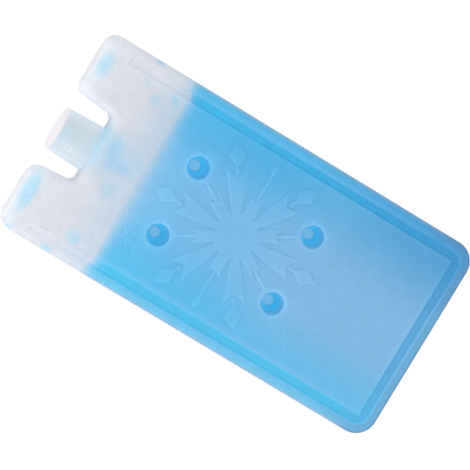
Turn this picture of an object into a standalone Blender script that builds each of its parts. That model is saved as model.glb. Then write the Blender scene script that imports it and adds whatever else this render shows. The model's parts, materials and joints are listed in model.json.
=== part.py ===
"""Reusable ice pack: a flat blow-moulded bottle, its smooth cap, a sealing disc and the blue coolant.

The pack lies on its back. X runs along it with the neck at -X, Y across it and Z up.
Sizes are in metres.
"""

import math

import bmesh
import bpy
from mathutils import Matrix, Vector

# Flat body
LENGTH = 0.259
WIDTH = 0.133
THICKNESS = 0.030
WALL = 0.0014
EDGE_RADIUS = 0.0050
BLUNT_CORNER = 0.0135
TAB_CORNER = 0.0084

# Notch between the two tabs, where the neck stands
NOTCH_DEPTH = 0.0272
NOTCH_HALF_FLOOR = 0.0229
NOTCH_HALF_MOUTH = 0.0249
NOTCH_CORNER = 0.0046
LEFT_TAB_LIP = 0.0068
RIGHT_TAB_LIP = 0.0088

# Groove that frames both faces on three sides
RIM_WIDTH = 0.0063
GROOVE_WIDTH = 0.0060
GROOVE_DEPTH = 0.0013
GROOVE_SLOPE = 0.0010
GROOVE_START = 0.0154
GROOVE_END_RADIUS = 0.0015
PANEL_CORNER = 0.0006

# Pits that tie the faces together: deep ones in the front that meet shallow ones in the back
PIT_ALONG = 0.0404
PIT_ACROSS = 0.0233
PIT_MOUTH_RADIUS = 0.0068
PIT_LIP_RADIUS = 0.0015
FRONT_PIT_FLOOR = 0.0036
BACK_PIT_FLOOR = 0.0050
BACK_PIT_DEPTH = 0.0055
PIT_WEB = 0.0032

# Raised snowflake in the middle of the front: broad arms with slim arms between them
FLAKE_ARMS = 6
ARM_TURN = 360 / FLAKE_ARMS
ACROSS_ARMS = (1, 4)
FLAKE_RISE = 0.0007
FLAKE_SLOPE = 0.0003
FLAKE_ROOT = 0.0005
FLAKE_CENTRE_X = -0.0035
VALLEY_RADIUS = 0.0125
VALLEY_ANGLE = 11.5
PRONG_RADIUS = 0.0415
PRONG_ANGLE = 10.0
CROTCH_RADIUS = 0.0355
KITE_START = 0.0372
KITE_STEM_END = 0.0420
KITE_STEM_HALF = 0.0010
KITE_WIDEST = 0.0487
KITE_HALF = 0.0054
KITE_TIP = 0.0565
BARB_RADIUS = 0.0266
BARB_HALF = 0.0039
BARB_CROTCH = 0.0240
STEM_HALF = 0.0010
DROP_START = 0.0418
DROP_WIDEST = 0.0460
DROP_HALF = 0.0028
DROP_TIP = 0.0496

# Two small stars beside it, each as long arms and short arms
STAR_RISE = 0.0004
STAR_RADIUS = 0.0074
STAR_VALLEY = 0.0016
STAR_ARM_HALF = 0.0007
LEFT_STAR = (-0.0591, -0.0350)
RIGHT_STAR = (0.0545, -0.0380)

# Neck, cap and sealing disc
NECK_RADIUS = 0.0112
NECK_WALL = 0.0020
CAP_BASE_RADIUS = 0.0146
CAP_END_RADIUS = 0.0139
CAP_END_WALL = 0.0016
CAP_EDGE_RADIUS = 0.0026
CAP_SETBACK = 0.0006
CAP_BASE_GAP = 0.0005
SEAL_THICKNESS = 0.0010

# Screw thread: a ridge on the neck, and one in the cap that runs between its turns
THREAD_PITCH = 0.0034
THREAD_HEIGHT = 0.0009
THREAD_FOOT = 0.0016
THREAD_CREST = 0.0007
THREAD_START = 0.0040
THREAD_TURNS = 4
THREAD_ROOT = 0.5
THREAD_RUN_OUT = 6
THREAD_STEPS = 24

# Coolant, which leaves this share of the length empty at the neck
EMPTY_SHARE = 0.2324
COOLANT_EDGE_RADIUS = 0.0030

SEAT_GAP = 0.0003
LEAST_RADIUS = 0.0001
OVERCUT = 0.0010
CORNER_STEPS = 5
EDGE_STEPS = 4
PIT_STEPS = 24
ROUND_STEPS = 48
SMOOTH_ANGLE = math.radians(40)

TAB_END_X = -LENGTH / 2
BLUNT_END_X = LENGTH / 2
NOTCH_FLOOR_X = TAB_END_X + NOTCH_DEPTH
MID_Z = THICKNESS / 2
FRONT_PIT_DEPTH = THICKNESS - PIT_WEB - BACK_PIT_DEPTH
CAP_END_X = TAB_END_X + CAP_SETBACK
CAP_BASE_X = NOTCH_FLOOR_X - CAP_BASE_GAP
SEAL_X = CAP_END_X + CAP_END_WALL + SEAT_GAP
NECK_END_X = SEAL_X + SEAL_THICKNESS + SEAT_GAP
NECK_ROOT_X = NOTCH_FLOOR_X + EDGE_RADIUS
CAP_BORE_RADIUS = NECK_RADIUS + THREAD_HEIGHT + SEAT_GAP
THREAD_END_X = NECK_END_X + THREAD_START
SEAL_RADIUS = CAP_BORE_RADIUS - SEAT_GAP
FILL_X = TAB_END_X + LENGTH * EMPTY_SHARE


def clear_scene():
    for item in list(bpy.data.objects):
        bpy.data.objects.remove(item, do_unlink=True)


def plastic(name, colour, roughness):
    material = bpy.data.materials.new(name)
    material.use_nodes = True
    shader = material.node_tree.nodes["Principled BSDF"]
    shader.inputs["Base Color"].default_value = (*colour, 1.0)
    shader.inputs["Roughness"].default_value = roughness
    shader.inputs["Metallic"].default_value = 0.0
    material.diffuse_color = (*colour, 1.0)
    return material


def new_object(name, bm, material=None):
    """An object from a bmesh, with its faces turned outward."""
    bmesh.ops.recalc_face_normals(bm, faces=bm.faces)
    mesh = bpy.data.meshes.new(name)
    bm.to_mesh(mesh)
    bm.free()
    item = bpy.data.objects.new(name, mesh)
    bpy.context.scene.collection.objects.link(item)
    if material:
        mesh.materials.append(material)
        mesh.shade_smooth()
        mesh.set_sharp_from_angle(angle=SMOOTH_ANGLE)
    return item


def as_tool(item):
    """Marks an object that only cuts or joins."""
    item.display_type = "WIRE"
    item.hide_render = True
    return item


def combine(item, tool, operation):
    modifier = item.modifiers.new(tool.name, "BOOLEAN")
    modifier.operation = operation
    modifier.object = as_tool(tool)
    modifier.solver = "EXACT"


def add_loft(bm, rings):
    """A closed body through rings of equally many points."""
    rows = [[bm.verts.new(point) for point in ring] for ring in rings]
    count = len(rows[0])
    for lower, upper in zip(rows, rows[1:]):
        for i in range(count):
            j = (i + 1) % count
            bm.faces.new((lower[i], lower[j], upper[j], upper[i]))
    bm.faces.new(rows[0])
    bm.faces.new(rows[-1])


def rounded_outline(corners, inset=0.0):
    """Points of an outline given anticlockwise as (x, y, radius), moved inward by inset.

    Each corner keeps its arc's centre and gives the same number of points at any inset.
    """
    count = len(corners)
    points = []
    for i in range(count):
        before = Vector(corners[i - 1][:2])
        here = Vector(corners[i][:2])
        after = Vector(corners[(i + 1) % count][:2])
        way_in = (here - before).normalized()
        way_out = (after - here).normalized()
        turn = math.atan2(way_in.cross(way_out), way_in.dot(way_out))
        half = math.tan(abs(turn) / 2)
        side = 1.0 if turn > 0 else -1.0
        inward = Vector((-way_in.y, way_in.x))
        corner = here + inward * inset + way_in * (-side * inset * half)
        radius = max(corners[i][2] - side * inset, LEAST_RADIUS)
        start = corner - way_in * (radius * half)
        centre = start + inward * (side * radius)
        for k in range(CORNER_STEPS + 1):
            swing = Matrix.Rotation(turn * k / CORNER_STEPS, 2)
            points.append(centre + swing @ (start - centre))
    return points


def flat_ring(outline, z):
    return [(point.x, point.y, z) for point in outline]


def round_ring(radius, z, steps, centre=(0.0, 0.0)):
    ring = []
    for i in range(steps):
        angle = 2 * math.pi * i / steps
        ring.append((centre[0] + radius * math.cos(angle), centre[1] + radius * math.sin(angle), z))
    return ring


def body_corners():
    return [
        (BLUNT_END_X, -WIDTH / 2, BLUNT_CORNER),
        (BLUNT_END_X, WIDTH / 2, BLUNT_CORNER),
        (TAB_END_X, WIDTH / 2, TAB_CORNER),
        (TAB_END_X, NOTCH_HALF_MOUTH, LEFT_TAB_LIP),
        (NOTCH_FLOOR_X, NOTCH_HALF_FLOOR, NOTCH_CORNER),
        (NOTCH_FLOOR_X, -NOTCH_HALF_FLOOR, NOTCH_CORNER),
        (TAB_END_X, -NOTCH_HALF_MOUTH, RIGHT_TAB_LIP),
        (TAB_END_X, -WIDTH / 2, TAB_CORNER),
    ]


def groove_corners():
    start = TAB_END_X + GROOVE_START
    outer_x = BLUNT_END_X - RIM_WIDTH
    outer_y = WIDTH / 2 - RIM_WIDTH
    inner_x = outer_x - GROOVE_WIDTH
    inner_y = outer_y - GROOVE_WIDTH
    outer_radius = BLUNT_CORNER - RIM_WIDTH
    return [
        (start, -outer_y, GROOVE_END_RADIUS),
        (outer_x, -outer_y, outer_radius),
        (outer_x, outer_y, outer_radius),
        (start, outer_y, GROOVE_END_RADIUS),
        (start, inner_y, GROOVE_END_RADIUS),
        (inner_x, inner_y, PANEL_CORNER),
        (inner_x, -inner_y, PANEL_CORNER),
        (start, -inner_y, GROOVE_END_RADIUS),
    ]


def coolant_corners():
    return [
        (BLUNT_END_X, -WIDTH / 2, BLUNT_CORNER),
        (BLUNT_END_X, WIDTH / 2, BLUNT_CORNER),
        (FILL_X, WIDTH / 2, COOLANT_EDGE_RADIUS),
        (FILL_X, -WIDTH / 2, COOLANT_EDGE_RADIUS),
    ]


def pillow(name, corners, inset, material=None):
    """A flat body with rounded edges, everywhere inset from the outline and both faces."""
    radius = EDGE_RADIUS - inset
    levels = []
    for k in range(EDGE_STEPS + 1):
        angle = math.pi / 2 * k / EDGE_STEPS
        levels.append((radius * (1 - math.sin(angle)), radius * (1 - math.cos(angle))))
    rings = []
    for shrink, rise in levels:
        rings.append(flat_ring(rounded_outline(corners, inset + shrink), inset + rise))
    for shrink, rise in reversed(levels):
        rings.append(flat_ring(rounded_outline(corners, inset + shrink), THICKNESS - inset - rise))
    bm = bmesh.new()
    add_loft(bm, rings)
    return new_object(name, bm, material)


def grooves(name, wall):
    """Both frame grooves, or the ridges they make on the inside of a wall."""
    bm = bmesh.new()
    for side in (1, -1):
        floor = side * (MID_Z - GROOVE_DEPTH - wall)
        mouth = side * (MID_Z - wall)
        above = side * (MID_Z + OVERCUT)
        rings = []
        for inset, height in ((GROOVE_SLOPE, floor), (0.0, mouth), (0.0, above)):
            outline = rounded_outline(groove_corners(), inset - wall)
            rings.append(flat_ring(outline, MID_Z + height))
        add_loft(bm, rings)
    return new_object(name, bm)


def pit_places():
    places = []
    for x_side in (1, -1):
        for y_side in (1, -1):
            places.append((FLAKE_CENTRE_X + x_side * PIT_ALONG, y_side * PIT_ACROSS))
    return places


def pits():
    """Four conical pits in each face, with rounded lips."""
    lip = [(PIT_MOUTH_RADIUS + PIT_LIP_RADIUS, -OVERCUT)]
    for k in range(EDGE_STEPS):
        angle = math.pi / 2 * k / (EDGE_STEPS - 1)
        radius = PIT_MOUTH_RADIUS + PIT_LIP_RADIUS * (1 - math.sin(angle))
        lip.append((radius, PIT_LIP_RADIUS * (1 - math.cos(angle))))
    bm = bmesh.new()
    for side, floor in ((1, (FRONT_PIT_FLOOR, FRONT_PIT_DEPTH)), (-1, (BACK_PIT_FLOOR, BACK_PIT_DEPTH))):
        for place in pit_places():
            rings = []
            for radius, drop in lip + [floor]:
                rings.append(round_ring(radius, MID_Z + side * (MID_Z - drop), PIT_STEPS, place))
            add_loft(bm, rings)
    return new_object("pit_tool", bm)


def pillars(name, wall):
    """What the pits leave inside a wall: four waisted pillars from face to face."""
    mouth = PIT_MOUTH_RADIUS + PIT_LIP_RADIUS / 2 + wall
    profile = [
        (-OVERCUT, mouth),
        (wall, mouth),
        (BACK_PIT_DEPTH, BACK_PIT_FLOOR + wall),
        (THICKNESS - FRONT_PIT_DEPTH, FRONT_PIT_FLOOR + wall),
        (THICKNESS - wall, mouth),
        (THICKNESS + OVERCUT, mouth),
    ]
    bm = bmesh.new()
    for place in pit_places():
        add_loft(bm, [round_ring(radius, z, PIT_STEPS, place) for z, radius in profile])
    return new_object(name, bm)


def polar(radius, degrees):
    angle = math.radians(degrees)
    return Vector((radius * math.cos(angle), radius * math.sin(angle)))


def turned(points, degrees, centre):
    swing = Matrix.Rotation(math.radians(degrees), 2)
    return [centre + swing @ Vector(point) for point in points]


def wide_arm():
    """One broad arm along +X: two prongs with a crotch between them."""
    return [
        polar(VALLEY_RADIUS, -VALLEY_ANGLE),
        polar(PRONG_RADIUS, -PRONG_ANGLE),
        (CROTCH_RADIUS, 0.0),
        polar(PRONG_RADIUS, PRONG_ANGLE),
        polar(VALLEY_RADIUS, VALLEY_ANGLE),
    ]


def slim_arm(ends_in_pit):
    """One slim arm along +X: two barbs, then a stem with a drop or one that stops at a pit."""
    if ends_in_pit:
        reach = math.hypot(PIT_ALONG, PIT_ACROSS) - PIT_MOUTH_RADIUS - PIT_LIP_RADIUS
        half = [(reach, STEM_HALF)]
    else:
        half = [(DROP_START, STEM_HALF), (DROP_WIDEST, DROP_HALF), (DROP_TIP, STEM_HALF / 2)]
    half = [(BARB_RADIUS, BARB_HALF), (BARB_CROTCH, STEM_HALF)] + half
    lower = [(x, -y) for x, y in half]
    return lower + half[::-1]


def kite():
    half = [(KITE_START, KITE_STEM_HALF), (KITE_STEM_END, KITE_STEM_HALF), (KITE_WIDEST, KITE_HALF)]
    lower = [(x, -y) for x, y in half]
    return lower + [(KITE_TIP, 0.0)] + half[::-1]


def star_arm():
    return [polar(STAR_VALLEY, -ARM_TURN / 2), (STAR_RADIUS, -STAR_ARM_HALF), (STAR_RADIUS, STAR_ARM_HALF)]


def shrunk(points, distance):
    """The outline with every edge moved inward by distance."""
    count = len(points)
    moved = []
    for i in range(count):
        way_in = (points[i] - points[i - 1]).normalized()
        way_out = (points[(i + 1) % count] - points[i]).normalized()
        normal_in = Vector((-way_in.y, way_in.x))
        normal_out = Vector((-way_out.y, way_out.x))
        reach = distance / (1 + normal_in.dot(normal_out))
        moved.append(points[i] + (normal_in + normal_out) * reach)
    return moved


def add_relief(bm, outline, rise):
    """A low boss on the front face with sloping sides."""
    low = flat_ring(outline, THICKNESS - FLAKE_ROOT)
    base = flat_ring(outline, THICKNESS)
    top = flat_ring(shrunk(outline, FLAKE_SLOPE), THICKNESS + rise)
    add_loft(bm, [low, base, top])


def reliefs():
    """The snowflake, its six kites and the two small stars."""
    centre = Vector((FLAKE_CENTRE_X, 0.0))
    bm = bmesh.new()
    flake = []
    for k in range(FLAKE_ARMS):
        angle = ARM_TURN * k
        flake += turned(wide_arm(), angle, centre)
        flake += turned(slim_arm(ends_in_pit=k not in ACROSS_ARMS), angle + ARM_TURN / 2, centre)
        add_relief(bm, turned(kite(), angle, centre), FLAKE_RISE)
    add_relief(bm, flake, FLAKE_RISE)
    for place in (LEFT_STAR, RIGHT_STAR):
        star = []
        for k in range(FLAKE_ARMS):
            star += turned(star_arm(), ARM_TURN * k, Vector(place))
        add_relief(bm, star, STAR_RISE)
    return new_object("relief_tool", bm)


def spindle(name, profile, base_x, material=None):
    """A turned body on the neck's axis; the profile is (radius, distance from base_x toward -X)."""
    bm = bmesh.new()
    add_loft(bm, [round_ring(radius, along, ROUND_STEPS) for radius, along in profile])
    item = new_object(name, bm, material)
    item.location = (base_x, 0.0, MID_Z)
    item.rotation_euler = (0.0, -math.pi / 2, 0.0)
    return item


def thread(name, foot_radius, crest_radius, end_x, turns):
    """A screw thread's ridge on the neck's axis, whose last turn is centred on end_x.

    Its flanks start behind foot_radius, inside the wall that carries it, and both ends run out there.
    """
    height = crest_radius - foot_radius
    sunk_radius = foot_radius - height * THREAD_ROOT
    sunk_half = (THREAD_FOOT + (THREAD_FOOT - THREAD_CREST) * THREAD_ROOT) / 2
    count = turns * THREAD_STEPS
    rings = []
    for i in range(count + 1):
        angle = 2 * math.pi * i / THREAD_STEPS
        along = THREAD_PITCH * i / THREAD_STEPS
        rise = min(1.0, (min(i, count - i) + 1) / THREAD_RUN_OUT)
        crest = sunk_radius + (crest_radius - sunk_radius) * rise
        ring = []
        for radius, shift in (
            (sunk_radius, -sunk_half),
            (crest, -THREAD_CREST / 2),
            (crest, THREAD_CREST / 2),
            (sunk_radius, sunk_half),
        ):
            ring.append((radius * math.cos(angle), radius * math.sin(angle), along + shift))
        rings.append(ring)
    bm = bmesh.new()
    add_loft(bm, rings)
    item = new_object(name, bm)
    item.location = (end_x + THREAD_PITCH * turns, 0.0, MID_Z)
    item.rotation_euler = (0.0, -math.pi / 2, 0.0)
    return item


def make_shell(material):
    """The hollow bottle: flat body and neck, less the grooves, the pits and the space inside."""
    shell = pillow("shell", body_corners(), 0.0, material)
    reach = NECK_ROOT_X - NECK_END_X
    bore_radius = NECK_RADIUS - NECK_WALL
    neck = spindle("neck_tool", [(NECK_RADIUS, 0.0), (NECK_RADIUS, reach)], NECK_ROOT_X)
    bore = spindle("bore_tool", [(bore_radius, 0.0), (bore_radius, reach + OVERCUT)], NECK_ROOT_X)
    cavity = pillow("cavity_tool", body_corners(), WALL)
    combine(cavity, grooves("ridge_tool", WALL), "DIFFERENCE")
    combine(cavity, pillars("pillar_tool", WALL), "DIFFERENCE")
    combine(cavity, bore, "UNION")
    combine(shell, neck, "UNION")
    ridge = thread("neck_thread_tool", NECK_RADIUS, NECK_RADIUS + THREAD_HEIGHT, THREAD_END_X, THREAD_TURNS)
    combine(shell, ridge, "UNION")
    combine(shell, reliefs(), "UNION")
    combine(shell, grooves("groove_tool", 0.0), "DIFFERENCE")
    combine(shell, pits(), "DIFFERENCE")
    combine(shell, cavity, "DIFFERENCE")
    return shell


def make_coolant(material):
    gap = WALL + SEAT_GAP
    coolant = pillow("coolant", coolant_corners(), gap, material)
    combine(coolant, grooves("coolant_ridge_tool", gap), "DIFFERENCE")
    combine(coolant, pillars("coolant_pillar_tool", gap), "DIFFERENCE")
    return coolant


def make_cap(material):
    """A smooth tapered cap with a rounded far edge, open toward the body and threaded inside."""
    reach = CAP_BASE_X - CAP_END_X
    profile = [(CAP_BORE_RADIUS, reach - CAP_END_WALL), (CAP_BORE_RADIUS, 0.0), (CAP_BASE_RADIUS, 0.0)]
    for k in range(EDGE_STEPS + 1):
        angle = math.pi / 2 * k / EDGE_STEPS
        radius = CAP_END_RADIUS - CAP_EDGE_RADIUS * (1 - math.cos(angle))
        profile.append((radius, reach - CAP_EDGE_RADIUS * (1 - math.sin(angle))))
    cap = spindle("cap", profile, CAP_BASE_X, material)
    crest = CAP_BORE_RADIUS - THREAD_HEIGHT
    start = THREAD_END_X + THREAD_PITCH / 2
    combine(cap, thread("cap_thread_tool", CAP_BORE_RADIUS, crest, start, THREAD_TURNS - 1), "UNION")
    return cap


def make_seal(material):
    profile = [(SEAL_RADIUS, 0.0), (SEAL_RADIUS, SEAL_THICKNESS)]
    return spindle("cap_seal", profile, SEAL_X + SEAL_THICKNESS, material)


def main():
    clear_scene()
    frosted = plastic("frosted_shell", (0.70, 0.74, 0.83), 0.42)
    white = plastic("cap_plastic", (0.72, 0.76, 0.80), 0.38)
    foam = plastic("seal_foam", (0.80, 0.78, 0.80), 0.80)
    blue = plastic("blue_coolant", (0.13, 0.45, 0.80), 0.30)
    pieces = [make_shell(frosted), make_coolant(blue), make_cap(white), make_seal(foam)]
    root = bpy.data.objects.new("ice_pack", None)
    bpy.context.scene.collection.objects.link(root)
    for piece in pieces:
        piece.parent = root


main()
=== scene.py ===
"""Reusable ice pack on a pale floor: frosted bottle, threaded neck, smooth cap, seal and blue coolant.

X runs along the pack with the neck at -X, Y across it and Z up, in metres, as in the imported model.
"""

import json
import math
from functools import cached_property

import bmesh
import bpy
from bpy.props import FloatProperty, FloatVectorProperty, PointerProperty
from bpy.types import Operator, Panel, PropertyGroup
from mathutils import Matrix, Vector
from mathutils.geometry import delaunay_2d_cdt

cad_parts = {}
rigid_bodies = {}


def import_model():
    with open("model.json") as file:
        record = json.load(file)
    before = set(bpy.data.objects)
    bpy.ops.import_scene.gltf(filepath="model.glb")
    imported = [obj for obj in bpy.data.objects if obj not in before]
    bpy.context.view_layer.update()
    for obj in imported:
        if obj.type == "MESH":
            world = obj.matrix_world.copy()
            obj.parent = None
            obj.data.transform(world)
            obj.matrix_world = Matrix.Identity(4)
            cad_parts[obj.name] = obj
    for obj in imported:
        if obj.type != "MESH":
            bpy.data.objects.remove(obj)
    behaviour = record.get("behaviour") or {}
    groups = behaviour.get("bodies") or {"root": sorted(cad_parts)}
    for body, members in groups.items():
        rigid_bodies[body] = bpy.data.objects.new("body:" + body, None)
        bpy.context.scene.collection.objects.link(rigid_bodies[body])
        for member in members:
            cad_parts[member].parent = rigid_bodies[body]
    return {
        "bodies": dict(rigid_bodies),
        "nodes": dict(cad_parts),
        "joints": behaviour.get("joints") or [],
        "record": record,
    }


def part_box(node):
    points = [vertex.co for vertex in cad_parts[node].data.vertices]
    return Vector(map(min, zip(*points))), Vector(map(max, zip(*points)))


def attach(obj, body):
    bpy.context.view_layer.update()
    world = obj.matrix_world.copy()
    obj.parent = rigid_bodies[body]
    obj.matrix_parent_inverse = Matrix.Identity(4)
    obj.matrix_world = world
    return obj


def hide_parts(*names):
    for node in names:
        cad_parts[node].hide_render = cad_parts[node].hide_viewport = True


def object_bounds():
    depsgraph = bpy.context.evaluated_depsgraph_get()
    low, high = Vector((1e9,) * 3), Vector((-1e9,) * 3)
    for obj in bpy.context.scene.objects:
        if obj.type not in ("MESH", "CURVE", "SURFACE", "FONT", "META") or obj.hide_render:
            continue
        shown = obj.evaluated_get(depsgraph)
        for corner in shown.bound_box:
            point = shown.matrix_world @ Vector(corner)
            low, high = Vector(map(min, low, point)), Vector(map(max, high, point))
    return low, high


bl_info = {
    "name": "Reusable Ice Pack",
    "version": (1, 0, 0),
    "blender": (4, 5, 0),
    "location": "3D View > Sidebar > Ice Pack",
    "description": "Builds a frosted ice pack bottle with its cap, its coolant and a small studio",
    "category": "Object",
}

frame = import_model()
CAD_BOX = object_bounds()
CAP_LOW, CAP_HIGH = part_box("cap")
COOLANT_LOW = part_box("coolant")[0]

MM = 0.001

# Flat body
TAB_END_X = CAD_BOX[0].x
BLUNT_END_X = CAD_BOX[1].x
HALF_WIDTH = CAD_BOX[1].y
THICKNESS = 0.0300
MID_Z = THICKNESS / 2
EDGE_RADIUS = 0.0050
BLUNT_CORNER = 0.0135
TAB_CORNER = 0.0084

# Notch with the neck
NOTCH_FLOOR_X = TAB_END_X + 0.0272
NOTCH_HALF_FLOOR = 0.0229
NOTCH_HALF_MOUTH = 0.0249
NOTCH_CORNER = 0.0046
LEFT_TAB_LIP = 0.0068
RIGHT_TAB_LIP = 0.0088

# Frame groove
RIM_WIDTH = 0.0063
GROOVE_WIDTH = 0.0060
GROOVE_DEPTH = 0.0013
GROOVE_SLOPE = 0.0010
GROOVE_START = 0.0154
GROOVE_END_RADIUS = 0.0015
PANEL_CORNER = 0.0006

# Tie pits
PIT_ALONG = 0.0404
PIT_ACROSS = 0.0233
PIT_MOUTH_RADIUS = 0.0068
PIT_LIP_RADIUS = 0.0015
FRONT_PIT_FLOOR = 0.0036
BACK_PIT_FLOOR = 0.0050
BACK_PIT_DEPTH = 0.0055
PIT_WEB = 0.0032
FRONT_PIT_DEPTH = THICKNESS - PIT_WEB - BACK_PIT_DEPTH
PIT_FOOT_OUT = 0.3

# Snowflake
FLAKE_ARMS = 6
ARM_TURN = 360 / FLAKE_ARMS
ACROSS_ARMS = (1, 4)
FLAKE_RISE = 0.0007
FLAKE_CENTRE_X = -0.0035
VALLEY_RADIUS = 0.0125
VALLEY_ANGLE = 11.5
PRONG_RADIUS = 0.0415
PRONG_ANGLE = 10.0
CROTCH_RADIUS = 0.0355
KITE_START = 0.0372
KITE_STEM_END = 0.0420
KITE_STEM_HALF = 0.0010
KITE_WIDEST = 0.0487
KITE_HALF = 0.0054
KITE_TIP = 0.0565
BARB_RADIUS = 0.0266
BARB_HALF = 0.0039
BARB_CROTCH = 0.0240
STEM_HALF = 0.0010
STEM_GAP = 0.0006
DROP_START = 0.0418
DROP_WIDEST = 0.0460
DROP_HALF = 0.0028
DROP_TIP = 0.0496
DROP_TIP_HALF = 0.0009
FLAKE_ROUNDING = 0.0003

# Small stars
STAR_RISE = 0.00028
STAR_RADIUS = 0.0074
STAR_VALLEY = 0.0016
STAR_ARM_HALF = 0.0007
STAR_ROUNDING = 0.0002
STARS = ((-0.0591, -0.0350), (0.0545, -0.0380))

# Neck, thread and cap
NECK_RADIUS = 0.0112
NECK_WALL = 0.0020
NECK_END_X = CAP_LOW.x + 0.0032
NECK_FOOT_RADIUS = 0.0008
NECK_LIP_RADIUS = 0.0005
NECK_SUNK = 0.0020
THREAD_PITCH = 0.0034
THREAD_HEIGHT = 0.0009
THREAD_FOOT = 0.0016
THREAD_CREST = 0.0007
THREAD_START = 0.0040
THREAD_TURNS = 4
THREAD_SUNK = 0.0004
THREAD_ROOT_HALF = 0.62 * THREAD_FOOT
THREAD_TOP_HALF = 0.32 * THREAD_CREST
CAP_BASE_RADIUS = 0.0146
CAP_END_RADIUS = 0.0139
CAP_BORE_RADIUS = 0.0124
CAP_END_WALL = 0.0016
CAP_EDGE_RADIUS = 0.0026
CAP_LIP_RADIUS = 0.0004
CAP_FLAT_RADIUS = 0.0040

# Where the coolant's blue begins to show
FILL_LINE_X = COOLANT_LOW.x - 0.0038

# Fineness of the meshes
CORNER_STEPS = 14
SMALL_CORNER_STEPS = 3
EDGE_STEPS = 10
SLOPE_STEPS = 5
PIT_STEPS = 64
LIP_STEPS = 6
CAP_STEPS = 128
THREAD_STEPS = 64
LIP_ARC_STEPS = 4
NECK_FOOT_STEPS = 5
CAP_EDGE_STEPS = 8
PIT_FOOT_SHARES = (0.0, 0.5, 1.0)

# Tolerances of the meshes
LEAST_RADIUS = 0.00005
AXIS_RADIUS = 0.0001
CUT_TOLERANCE = 1e-8
WELD_DISTANCE = 1e-7
CAP_SHARP_ANGLE = math.radians(50)

# Camera, fitted to the outline in the photo
CAMERA_LEAN_END = math.radians(9.322)
CAMERA_LEAN_SIDE = math.radians(1.501)
CAMERA_ROLL = math.radians(31.081)
CAMERA_TARGET = (-0.00281, 0.00039, 0.0300)
CAMERA_SHIFT_RIGHT = -0.001258
CAMERA_SHIFT_UP = 0.000766
CAMERA_CLIP = (0.1, 20.0)
SENSOR_WIDTH = 36.0

# Studio
KEY_PLACE = (-0.22, -0.52, 0.52)
FLOOR_DROP = 0.0003
FLOOR_FLECKS = 40.0


def tone(red, green, blue):
    """A colour read from 0 to 255 as on a screen, as scene-linear values."""
    values = []
    for step in (red, green, blue):
        share = step / 255
        values.append(share / 12.92 if share <= 0.04045 else ((share + 0.055) / 1.055) ** 2.4)
    return tuple(values)


def colour_prop(name, description, *screen):
    return FloatVectorProperty(
        name=name, description=description, default=tone(*screen), size=3, min=0.0, max=1.0, subtype="COLOR"
    )


def factor_prop(name, description, default):
    return FloatVectorProperty(name=name, description=description, default=default, size=3, min=0.0)


def share_prop(name, description, default):
    return FloatProperty(
        name=name, description=description, default=default, min=0.0, max=1.0, subtype="FACTOR"
    )


def length_prop(name, description, default):
    return FloatProperty(
        name=name, description=description, default=default, min=0.0, unit="LENGTH", subtype="DISTANCE"
    )


class IcePackShape(PropertyGroup):
    """Sizes of the soft edges that the moulding leaves."""

    relief_blend: length_prop("Relief blend", "Width over which the snowflake's edge rises", 0.00135)
    star_blend: length_prop("Star blend", "Width over which the small stars' edge rises", 0.00095)
    relief_spread: length_prop("Relief spread", "How far those edges start outside their outline", 0.0004)
    groove_blend: length_prop("Groove blend", "Width over which the frame groove's edge falls", 0.0020)
    seam_depth: length_prop("Seam depth", "Depth of the mould's parting line round the sides", 0.00012)
    seam_half: length_prop("Seam half width", "Half the width of the parting line", 0.0003)
    pit_floor_blend: length_prop("Pit floor blend", "Radius at the foot of each tie pit", 0.0008)


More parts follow.
